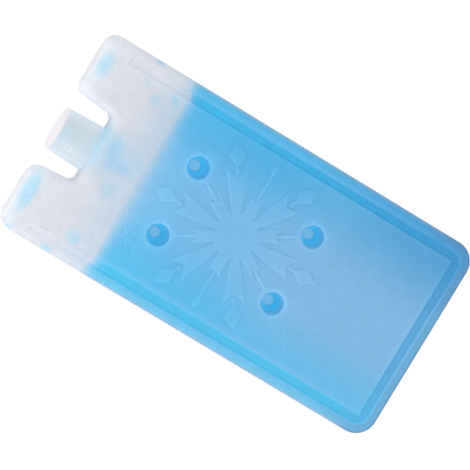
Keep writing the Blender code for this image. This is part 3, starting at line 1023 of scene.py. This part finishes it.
class Place:
    """Where a point of the surface lies, in millimetres, and its share of each zone."""

    def __init__(self, w):
        self.w = w
        self.point = w.scaled(w.add("ShaderNodeTexCoord").outputs["Object"], 1 / MM)
        split = w.add("ShaderNodeSeparateXYZ")
        w.put(split.inputs[0], self.point)
        self.x, self.y, self.z = split.outputs
        self.shares = {}

    @cached_property
    def off_axis(self):
        return self.w.unsigned(self.y)

    @cached_property
    def off_level(self):
        """Above or below the middle of the thickness."""
        return self.w.unsigned(self.w.minus(self.z, MID))

    @cached_property
    def from_side(self):
        return self.w.minus(HALF_WIDTH / MM, self.off_axis)

    @cached_property
    def inset(self):
        """Inside the rounded outline of the body, seen from above."""
        w = self.w
        radius = BLUNT_CORNER / MM
        over_x = w.minus(w.unsigned(self.x), BLUNT_END_X / MM - radius)
        over_y = w.minus(self.off_axis, HALF_WIDTH / MM - radius)
        outside = self.length(w.larger(over_x, 0.0), w.larger(over_y, 0.0))
        inside = w.math("MINIMUM", w.larger(over_x, over_y), 0.0)
        return w.minus(radius, w.plus(outside, inside))

    @cached_property
    def from_pit(self):
        """From the axis of the nearest tie pit."""
        w = self.w
        along = w.unsigned(w.minus(self.x, FLAKE_CENTRE_X / MM))
        return self.length(w.minus(along, PIT_ALONG / MM), w.minus(self.off_axis, PIT_ACROSS / MM))

    @cached_property
    def past_mouth(self):
        return self.w.minus(self.from_pit, PIT_MOUTH_RADIUS / MM)

    def length(self, along, across):
        flat = self.w.add("ShaderNodeCombineXYZ")
        self.w.put(flat.inputs[0], along)
        self.w.put(flat.inputs[1], across)
        return self.w.vector("LENGTH", flat.outputs[0])

    def zone(self, name):
        if name not in self.shares:
            measure, start, full = ZONES[name]
            self.shares[name] = self.w.ramp(getattr(self, measure), start, full)
        return self.shares[name]


# Coolant that clings inside the empty end: x, y, half along, half across, turn, softness, strength
POOLS = (
    (-124.1, 47.4, 6.6, 12.0, 0.0, 0.8, 0.9),
    (-123.9, -40.2, 6.6, 19.0, 0.0, 0.7, 0.95),
    (-86.9, -50.2, 5.6, 5.5, 0.0, 0.4, 0.6),
)
NECK_WASHES = (
    (-95.0, 3.0, 26.0, 22.0, 0.0, 0.8, 0.46),
    (-93.2, 7.0, 7.0, 12.0, -12.0, 1.0, 0.7),
    (-88.5, -1.0, 9.0, 8.0, -20.0, 1.0, 0.45),
    (-81.0, 0.0, 10.0, 6.0, 0.0, 1.0, 0.45),
    (-76.0, 6.5, 8.0, 5.0, 20.0, 1.0, 0.35),
    (-83.5, -15.5, 9.0, 9.0, 0.0, 1.0, 0.42),
    (-103.0, 13.0, 9.0, 8.0, 0.0, 0.9, 0.45),
    (-96.5, 51.7, 4.6, 4.6, 0.0, 0.9, 0.26),
    (-87.5, 44.3, 6.0, 6.0, 0.0, 0.9, 0.36),
    (-77.4, 51.0, 3.1, 6.2, -38.0, 0.9, 0.66),
    (-85.2, -51.2, 3.0, 4.6, 0.0, 0.9, 0.4),
    (-96.2, 65.2, 5.6, 3.0, 0.0, 0.9, 0.6),
    (-97.6, -64.2, 5.6, 3.6, 0.0, 0.9, 0.6),
    (-123.0, -64.4, 4.4, 3.0, 0.0, 0.9, 0.35),
)
CAP_POOLS = (
    (-122.2, -2.0, 3.6, 9.0, 0.0, 1.0, 0.4),
    (-103.5, 6.0, 6.0, 9.0, 0.0, 1.0, 0.6),
)

# Painted highlights (glints) on the edges round the neck, in the same terms
PAINTED_GLINTS = (
    (-101.5, 1.0, 3.0, 17.0, 0.0, 1.0, 0.46),
    (-101.8, -6.0, 2.4, 7.5, 0.0, 1.0, 0.4),
    (-126.6, 29.3, 3.0, 2.4, 0.0, 1.0, 0.4),
    (-102.6, 21.0, 4.0, 2.4, 25.0, 1.0, 0.4),
    (-105.6, -20.6, 3.0, 2.4, -25.0, 1.0, 0.4),
)


def traces(w, at, spots):
    """Several soft spots laid over each other, the same at every height."""
    flat = w.vector("MULTIPLY", at.point, (1.0, 1.0, 0.0))
    mask = None
    for x, y, half_x, half_y, turn, softness, strength in spots:
        spot = w.group(
            gel_trace_group(),
            Position=flat,
            Centre=(x, y, 0.0),
            Half_Size=(half_x, half_y, 1.0),
            Turn=math.radians(turn),
            Softness=softness,
            Strength=strength,
        )["Mask"]
        mask = spot if mask is None else w.times_plus(mask, w.minus(1.0, spot), spot)
    return mask


def groove_floor(w, inset):
    """Share on the groove's floor, from how far inside the outline a point lies."""
    start, full = GROOVE_FLOOR
    return w.band(inset, GROOVE_OUT + start, GROOVE_OUT + full, GROOVE_IN - full, GROOVE_IN - start)


def groove_wall(w, inset, edge):
    """Share on the groove's wall along one of its edges."""
    return w.band(inset, *[edge + step for step in GROOVE_SIDE_WALL])


def panel_blue(w, colours, at):
    """Blue of the panel: pale in the middle, deeper to the sides, lighter at -Y as painted light, and greyer
    in the blunt half, partly as painted shade away from the lamp.
    """
    across = at.zone("panel across")
    blunt_half = at.zone("blunt half")
    off_middle = w.unsigned(w.times_plus(blunt_half, PALE_MIDDLE_SHIFT, at.y))
    steeper = w.times_plus(at.zone("low half"), w.times(blunt_half, LOW_HALF_STEEPER), 1.0)
    flat_part = w.times(blunt_half, PALE_MIDDLE_FLAT)
    fade = [w.plus(flat_part, distance) for distance in PALE_MIDDLE_FADE]
    middle = w.ramp(w.times(off_middle, steeper), *fade, 1.0, 0.0)
    blue = w.mix(middle, w.mix(across, colours.blue_low, colours.blue_high), colours.blue_centre)
    end = w.mix(middle, w.mix(across, colours.end_low, colours.end_high), colours.end_centre)
    return w.mix(w.times(blunt_half, BLUNT_HALF_SHARE), blue, end)


def blue_behind(w, colours, at, in_groove):
    """Blue seen through the plastic, with shades of its own at the rim and the groove, painted sheen and
    shade on the outer edge, painted highlights on the groove's lips and painted shade toward the +X, +Y
    corner.
    """
    across = at.zone("panel across")
    at_end = at.zone("blunt end")
    # The rim and the groove are painted lighter at -Y than at +Y: painted light from the lamp's side
    rim = w.mix(at_end, w.mix(across, colours.rim_low, colours.rim_high), colours.rim_end)
    blue = w.mix(at.zone("rim"), panel_blue(w, colours, at), rim)

    # Painted sheen and shade on the rounded outer edge, and on the side wall at +Y
    by_end = at.zone("edge at blunt end")
    outline = w.mix(by_end, w.mix(across, colours.edge_sheen_low, colours.edge_shade_high), colours.edge_shade_end)
    high_wall = w.times(at.zone("above back"), at.zone("walls across"), w.minus(1.0, by_end))
    tinted = w.times(at.zone("outline"), EDGE_LIGHT_SHARE, w.larger(at.zone("front edge"), high_wall))
    blue = w.mix(tinted, blue, outline)

    groove = w.mix(across, colours.groove_low, colours.groove_high)
    groove = w.mix(w.times(at_end, at.zone("near axis")), groove, colours.groove_end)
    blue = w.mix(in_groove, blue, groove)
    # Painted highlights on the groove's lips that face the lamp: the inner lip at -Y, the outer lip at +Y
    lips = at.zone("lips across")
    low_lip_highlight = w.times(w.line(at.inset, *INNER_LIP_HIGHLIGHT), w.minus(1.0, lips))
    lip_highlights = w.times_plus(w.line(at.inset, *OUTER_LIP_HIGHLIGHT), lips, low_lip_highlight)
    blue = w.mix(w.times(lip_highlights, at.zone("before blunt end"), LIP_HIGHLIGHT_SHARE), blue, colours.groove_lip_highlight)

    far_rim = w.times(at.zone("far rim"), at.zone("high rim"), at.zone("whole rim"))
    corner = w.times(at.zone("toward corner"), at.zone("high half"))
    # The last factor is painted shade toward the +X, +Y corner, away from the lamp
    for share, factor in (
        (at.zone("beside fill line"), colours.fill_side),
        (far_rim, colours.far_rim),
        (corner, colours.painted_corner_shade),
    ):
        blue = w.vector("MULTIPLY", blue, w.mix(share, (1.0, 1.0, 1.0), factor))
    return blue


def with_pits(w, colours, at, blue):
    """Painted highlights on the lips, deep blue walls and paler floors of the tie pits."""
    blue = w.mix(w.times(w.band(at.past_mouth, *PIT_LIP_HIGHLIGHT), PIT_LIP_HIGHLIGHT_SHARE), blue, colours.pit_lip_highlight)
    blue = w.mix(at.zone("pit wall"), blue, colours.pit_wall)
    floor = w.between(at.zone("front pits"), BACK_PIT_FLOOR / MM, FRONT_PIT_FLOOR / MM)
    return w.mix(w.ramp(w.minus(at.from_pit, floor), *PIT_FLOOR_EDGE), blue, colours.pit_floor)


def painted_wall_light(w, at):
    """Factor of painted light and shade that softens how the lamp shades the groove and the rim in the empty
    end.
    """
    across = at.zone("pack across")
    floor = groove_floor(w, at.from_side)
    end_wall = w.band(at.x, *[GROOVE_FROM + step for step in GROOVE_END_WALL])
    shift = w.times(end_wall, floor, END_WALL_LIFT)
    for share, lifts in (
        (floor, FLOOR_LIFT),
        (groove_wall(w, at.from_side, GROOVE_OUT), OUTER_WALL_LIFT),
        (groove_wall(w, at.from_side, GROOVE_IN), INNER_WALL_LIFT),
    ):
        shift = w.times_plus(share, w.ramp(across, 0.0, 1.0, *lifts), shift)
    factor = w.times_plus(shift, at.zone("groove length"), 1.0)
    return w.times_plus(at.zone("side rims"), w.ramp(across, 0.0, 1.0, *RIM_LIFT), factor)


def empty_end(w, colours, at):
    """Frosted plastic with air behind it, the coolant that clings inside, and painted highlights on the tab
    walls and round the neck.
    """
    pale = w.mix(at.zone("off tab ends"), colours.tab_end, colours.empty)
    # Painted highlight on the tab end walls
    pale = w.mix(w.times(at.zone("tab walls"), TAB_WALL_HIGHLIGHT_SHARE), pale, colours.tab_wall_highlight)
    near_fill = w.mix(at.zone("pack across"), colours.near_fill_low, colours.near_fill_high)
    on_panel = w.larger(w.between(at.zone("inside high rim"), HIGH_RIM_SHARE, 1.0), at.zone("beyond neck"))
    pale = w.mix(w.times(at.zone("toward fill line"), on_panel), pale, near_fill)
    # Painted highlights on the edges round the neck
    pale = w.mix(traces(w, at, PAINTED_GLINTS), pale, colours.painted_glint)
    shown = w.larger(at.zone("both faces"), at.zone("round neck"))
    for spots, colour in ((NECK_WASHES, colours.gel_wash), (POOLS, colours.gel_trace)):
        pale = w.mix(w.times(traces(w, at, spots), shown), pale, colour)
    return pale


def share_filled(w, at, cloud):
    """How much of the coolant's blue shows, from nothing at the fill line to all of it past the reach."""
    across = at.zone("fill line across")

    def along_line(middle, sides, rim, groove):
        panel = w.between(at.zone("fill line sides"), middle, w.between(across, *sides))
        frame = w.between(at.zone("down groove"), w.between(across, *rim), w.between(across, *groove))
        return w.between(at.zone("frame"), panel, frame)

    level = w.plus(along_line(*FILL_SHIFT), FILL_LINE_X / MM)
    level = w.times_plus(cloud, FILL_WAVER, level)
    past = w.math("DIVIDE", w.larger(w.minus(at.x, level), 0.0), along_line(*FILL_REACH))
    fading = w.math("POWER", math.e, w.times(w.math("POWER", past, FILL_STEEPNESS), -1.0))
    return w.minus(1.0, fading)


def bottle_material(colours, finish):
    """Frosted plastic with the coolant's blue behind it up to the fill line."""
    material, w, shader = new_material("frosted_bottle", colours.empty)
    at = Place(w)
    cloud = grained(w, shader, at.point, finish, finish.gloss_roughness, finish.waviness)
    in_groove = w.times(groove_floor(w, at.inset), at.zone("groove length"))
    blue = with_pits(w, colours, at, blue_behind(w, colours, at, in_groove))
    blue = w.mix(w.times(at.zone("raised"), finish.relief_tint), blue, colours.relief)
    filled = share_filled(w, at, cloud)
    # The empty end's groove and rim get painted light and shade that even out their shading
    pale = w.scaled(empty_end(w, colours, at), painted_wall_light(w, at))
    mottle = w.minus(w.noise(at.point, MM / finish.mottle_size, 3.0, 0.6), 0.5)
    blotch = w.minus(w.noise(at.point, MM / finish.blotch_size, 1.0), 0.5)
    mottle = w.times(w.times_plus(blotch, BLOTCH_SHARE, mottle), finish.mottle)
    surface = w.scaled(w.mix(filled, pale, blue), w.plus(w.times_plus(cloud, BOTTLE_CLOUD, 1.0), mottle))

    # Painted glow, as emission, for light that comes through from inside: a little everywhere, and more round
    # the neck and in the pits, where it lifts the shade of the hollows
    near_notch = w.times(at.zone("notch length"), at.zone("notch width"))
    glow = w.times_plus(near_notch, finish.notch_glow, finish.glow)
    glow = w.times_plus(w.times(at.zone("pit"), filled), finish.pit_glow, glow)
    lit_by_room(w, shader, surface, glow)
    shader.inputs["Subsurface Weight"].default_value = finish.scatter
    shader.inputs["Subsurface Radius"].default_value = SCATTER_BY_CHANNEL
    shader.inputs["Subsurface Scale"].default_value = finish.scatter_reach
    return material


def cap_material(colours, finish):
    """Smooth translucent plastic that lets the neck's thread show faintly, with painted light on its end, its
    sides and the thread's turns.
    """
    material, w, shader = new_material("cap_shell", colours.cap)
    at = Place(w)
    cloud = grained(w, shader, at.point, finish, finish.cap_roughness, finish.cap_waviness)
    tinted = w.mix(w.times(w.band(at.y, *CAP_MIDDLE), CAP_MIDDLE_SHARE), colours.cap, colours.cap_middle)
    tinted = w.mix(w.times(at.zone("cap base"), CAP_WASH_SHARE), tinted, colours.gel_wash)
    tinted = w.mix(traces(w, at, CAP_POOLS), tinted, colours.gel_trace)

    # The neck's thread shows through as pale turns, with a painted highlight on them that is clearest on the
    # -Y side, toward the lamp
    pitch = THREAD_PITCH / MM
    round_axis = w.math("ARCTAN2", w.minus(at.z, MID), at.y)
    advance = w.times_plus(round_axis, pitch / (2 * math.pi), at.x)
    turn = w.math("PINGPONG", w.math("DIVIDE", advance, pitch), 0.5)
    on_thread = w.times(w.ramp(turn, *THREAD_TURN), w.band(at.x, *THREAD_LENGTH))
    shown = w.between(at.zone("cap thread"), *THREAD_HIGHLIGHT_SHARE)
    tinted = w.mix(w.times(on_thread, shown), tinted, colours.thread)
    # Painted light toward both sides of the cap
    tinted = w.scaled(tinted, w.between(at.zone("cap sides"), 1.0, CAP_SIDE_PAINTED_LIGHT))
    # Painted light on the cap's end
    surface = clouded(w, w.mix(at.zone("cap end"), tinted, colours.lit_cap_end), cloud, CAP_CLOUD)
    lit_by_room(w, shader, surface, finish.cap_glow)
    shader.inputs["Alpha"].default_value = finish.cap_cover
    return material


def seal_material(colours, finish):
    """Soft closed-cell foam."""
    material, w, shader = new_material("seal_foam_disc", colours.seal)
    at = Place(w)
    cloud = grained(w, shader, at.point, finish, finish.seal_roughness, finish.seal_waviness)
    w.put(shader.inputs["Base Color"], clouded(w, colours.seal, cloud, SEAL_CLOUD))
    return material


def coolant_material(colours, finish):
    """Blue water gel, with slow clouds of thicker gel."""
    material, w, shader = new_material("blue_water_gel", colours.coolant)
    at = Place(w)
    cloud = grained(w, shader, at.point, finish, finish.gel_roughness, finish.gel_waviness)
    deep = [channel * THICK_GEL_SHADE for channel in colours.coolant]
    w.put(shader.inputs["Base Color"], w.mix(w.ramp(cloud, *THICK_GEL), colours.coolant, deep))
    return material


# Operators


class ICEPACK_OT_bottle(Operator):
    """Builds the frosted bottle with its threaded neck in place of the plain shell"""

    bl_idname = "icepack.bottle"
    bl_label = "Bottle"

    def execute(self, context):
        body, neck, ridge = bmesh.new(), bmesh.new(), bmesh.new()
        add_body(body, context.scene.ice_pack_shape)
        add_neck(neck)
        add_thread(ridge, NECK_RADIUS, NECK_RADIUS + THREAD_HEIGHT, NECK_END_X + THREAD_START, THREAD_TURNS)
        for solid in (body, neck, ridge):
            finish_solid(solid)
        for solid in (neck, ridge):
            spare = bpy.data.meshes.new("neck_part")
            solid.to_mesh(spare)
            solid.free()
            body.from_mesh(spare)
            bpy.data.meshes.remove(spare)
        material = bottle_material(context.scene.ice_pack_colours, context.scene.ice_pack_finish)
        bottle = new_piece("bottle", body, material)
        even_normals(bottle)
        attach(bottle, "root")
        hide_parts("shell")
        return {"FINISHED"}


class ICEPACK_OT_cap(Operator):
    """Builds the smooth translucent cap in place of the plain one"""

    bl_idname = "icepack.cap"
    bl_label = "Cap"

    def execute(self, context):
        base = CAP_HIGH.x
        end = CAP_LOW.x
        edge = CAP_EDGE_RADIUS
        lip = CAP_LIP_RADIUS
        bore_end = end + CAP_END_WALL
        profile = [(CAP_BORE_RADIUS, base)]
        profile += arc(CAP_BASE_RADIUS - lip, base - lip, lip, 90, 0, LIP_ARC_STEPS)
        profile += arc(CAP_END_RADIUS - edge, end + edge, edge, 0, -90, CAP_EDGE_STEPS)
        profile += [(CAP_FLAT_RADIUS, end), (AXIS_RADIUS, end)]
        profile += [(AXIS_RADIUS, bore_end), (CAP_BORE_RADIUS, bore_end)]
        bm = bmesh.new()
        add_lathe(bm, profile, CAP_STEPS)
        finish_solid(bm)
        material = cap_material(context.scene.ice_pack_colours, context.scene.ice_pack_finish)
        cap = new_piece("screw_cap", bm, material)
        cap.data.set_sharp_from_angle(angle=CAP_SHARP_ANGLE)
        even_normals(cap)
        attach(cap, "root")
        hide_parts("cap")
        return {"FINISHED"}


class ICEPACK_OT_inside(Operator):
    """Gives the coolant and the sealing disc their finish"""

    bl_idname = "icepack.inside"
    bl_label = "Coolant and Seal"

    def execute(self, context):
        colours = context.scene.ice_pack_colours
        finish = context.scene.ice_pack_finish
        for node, material in (
            ("coolant", coolant_material(colours, finish)),
            ("cap_seal", seal_material(colours, finish)),
        ):
            for slot in frame["nodes"][node].material_slots:
                slot.material = material
        return {"FINISHED"}


class ICEPACK_OT_studio(Operator):
    """Sets up the floor, the light and the camera"""

    bl_idname = "icepack.studio"
    bl_label = "Studio"

    def execute(self, context):
        studio = context.scene.ice_pack_studio
        self.add_floor(studio)
        self.add_world(context.scene, studio)
        self.add_lamps(studio)
        self.add_camera(context.scene, studio)
        context.scene.view_settings.view_transform = "Standard"
        return {"FINISHED"}

    def add_floor(self, studio):
        half = studio.floor_size / 2
        bm = bmesh.new()
        corners = ((-half, -half, 0.0), (half, -half, 0.0), (half, half, 0.0), (-half, half, 0.0))
        bm.faces.new([bm.verts.new(corner) for corner in corners])
        material = bpy.data.materials.new("pale_floor")
        material.use_nodes = True
        w = Wiring(material.node_tree)
        material.node_tree.nodes.remove(material.node_tree.nodes["Principled BSDF"])
        plain = w.add("ShaderNodeBsdfDiffuse")
        fleck = w.noise(w.add("ShaderNodeTexCoord").outputs["Object"], FLOOR_FLECKS)
        w.put(plain.inputs["Color"], w.mix(fleck, studio.floor_dark, studio.floor_pale))
        bright = w.add("ShaderNodeEmission")
        w.put(bright.inputs["Strength"], studio.floor_glow)
        rays = w.add("ShaderNodeLightPath").outputs
        seen = w.larger(rays["Is Camera Ray"], rays["Is Transmission Ray"])
        blend = w.add("ShaderNodeMixShader")
        w.put(blend.inputs[0], w.times(seen, studio.floor_white))
        w.put(blend.inputs[1], plain.outputs[0])
        w.put(blend.inputs[2], bright.outputs[0])
        w.put(material.node_tree.nodes["Material Output"].inputs["Surface"], blend.outputs[0])
        floor = new_piece("floor", bm, material)
        floor.location.z = -FLOOR_DROP

    def add_world(self, scene, studio):
        world = bpy.data.worlds.new("soft_room")
        world.use_nodes = True
        scene.world = world
        w = Wiring(world.node_tree)
        rays = w.add("ShaderNodeLightPath").outputs
        seen = w.larger(rays["Is Camera Ray"], w.larger(rays["Is Glossy Ray"], rays["Is Transmission Ray"]))
        back = world.node_tree.nodes["Background"]
        back.inputs["Color"].default_value = (1.0, 1.0, 1.0, 1.0)
        w.put(back.inputs["Strength"], w.between(seen, studio.room_light, 1.0))

    def add_lamps(self, studio):
        lamp = bpy.data.lights.new("key", "AREA")
        lamp.energy = studio.key_power
        lamp.size = studio.key_size
        key = bpy.data.objects.new("key", lamp)
        key.location = KEY_PLACE
        key.rotation_euler = (-key.location).to_track_quat("-Z", "Y").to_euler()
        bpy.context.scene.collection.objects.link(key)

    def add_camera(self, scene, studio):
        back = Vector((-math.sin(CAMERA_LEAN_END), math.sin(CAMERA_LEAN_SIDE), 0.0))
        back.z = math.sqrt(1 - back.length_squared)
        along = Vector((1.0, 0.0, 0.0))
        along = (along - back * along.dot(back)).normalized()
        across = back.cross(along)
        right = along * math.cos(CAMERA_ROLL) + across * math.sin(CAMERA_ROLL)
        up = across * math.cos(CAMERA_ROLL) - along * math.sin(CAMERA_ROLL)
        data = bpy.data.cameras.new("camera")
        data.sensor_width = SENSOR_WIDTH
        data.lens = SENSOR_WIDTH * studio.distance / studio.view_width
        data.clip_start, data.clip_end = CAMERA_CLIP
        camera = bpy.data.objects.new("camera", data)
        turn = Matrix((right, up, back)).transposed().to_4x4()
        target = Vector(CAMERA_TARGET) + right * CAMERA_SHIFT_RIGHT + up * CAMERA_SHIFT_UP
        camera.matrix_world = Matrix.Translation(target + back * studio.distance) @ turn
        scene.collection.objects.link(camera)
        scene.camera = camera


class ICEPACK_PT_panel(Panel):
    """Lists the steps and settings of the ice pack"""

    bl_label = "Ice Pack"
    bl_idname = "ICEPACK_PT_panel"
    bl_space_type = "VIEW_3D"
    bl_region_type = "UI"
    bl_category = "Ice Pack"

    def draw(self, context):
        layout = self.layout
        for step in STEPS:
            layout.operator(step.bl_idname)
        for name in SETTINGS:
            group = getattr(context.scene, name)
            box = layout.box()
            for key in group.__annotations__:
                box.prop(group, key)


SETTINGS = {
    "ice_pack_shape": IcePackShape,
    "ice_pack_colours": IcePackColours,
    "ice_pack_finish": IcePackFinish,
    "ice_pack_studio": IcePackStudio,
}
STEPS = (ICEPACK_OT_bottle, ICEPACK_OT_cap, ICEPACK_OT_inside, ICEPACK_OT_studio)
CLASSES = (*SETTINGS.values(), *STEPS, ICEPACK_PT_panel)


def register():
    for item in CLASSES:
        bpy.utils.register_class(item)
    for name, group in SETTINGS.items():
        setattr(bpy.types.Scene, name, PointerProperty(type=group))


def unregister():
    for name in SETTINGS:
        delattr(bpy.types.Scene, name)
    for item in reversed(CLASSES):
        bpy.utils.unregister_class(item)


def main():
    register()
    bpy.ops.icepack.bottle()
    bpy.ops.icepack.cap()
    bpy.ops.icepack.inside()
    bpy.ops.icepack.studio()


if __name__ == "__main__":
    main()
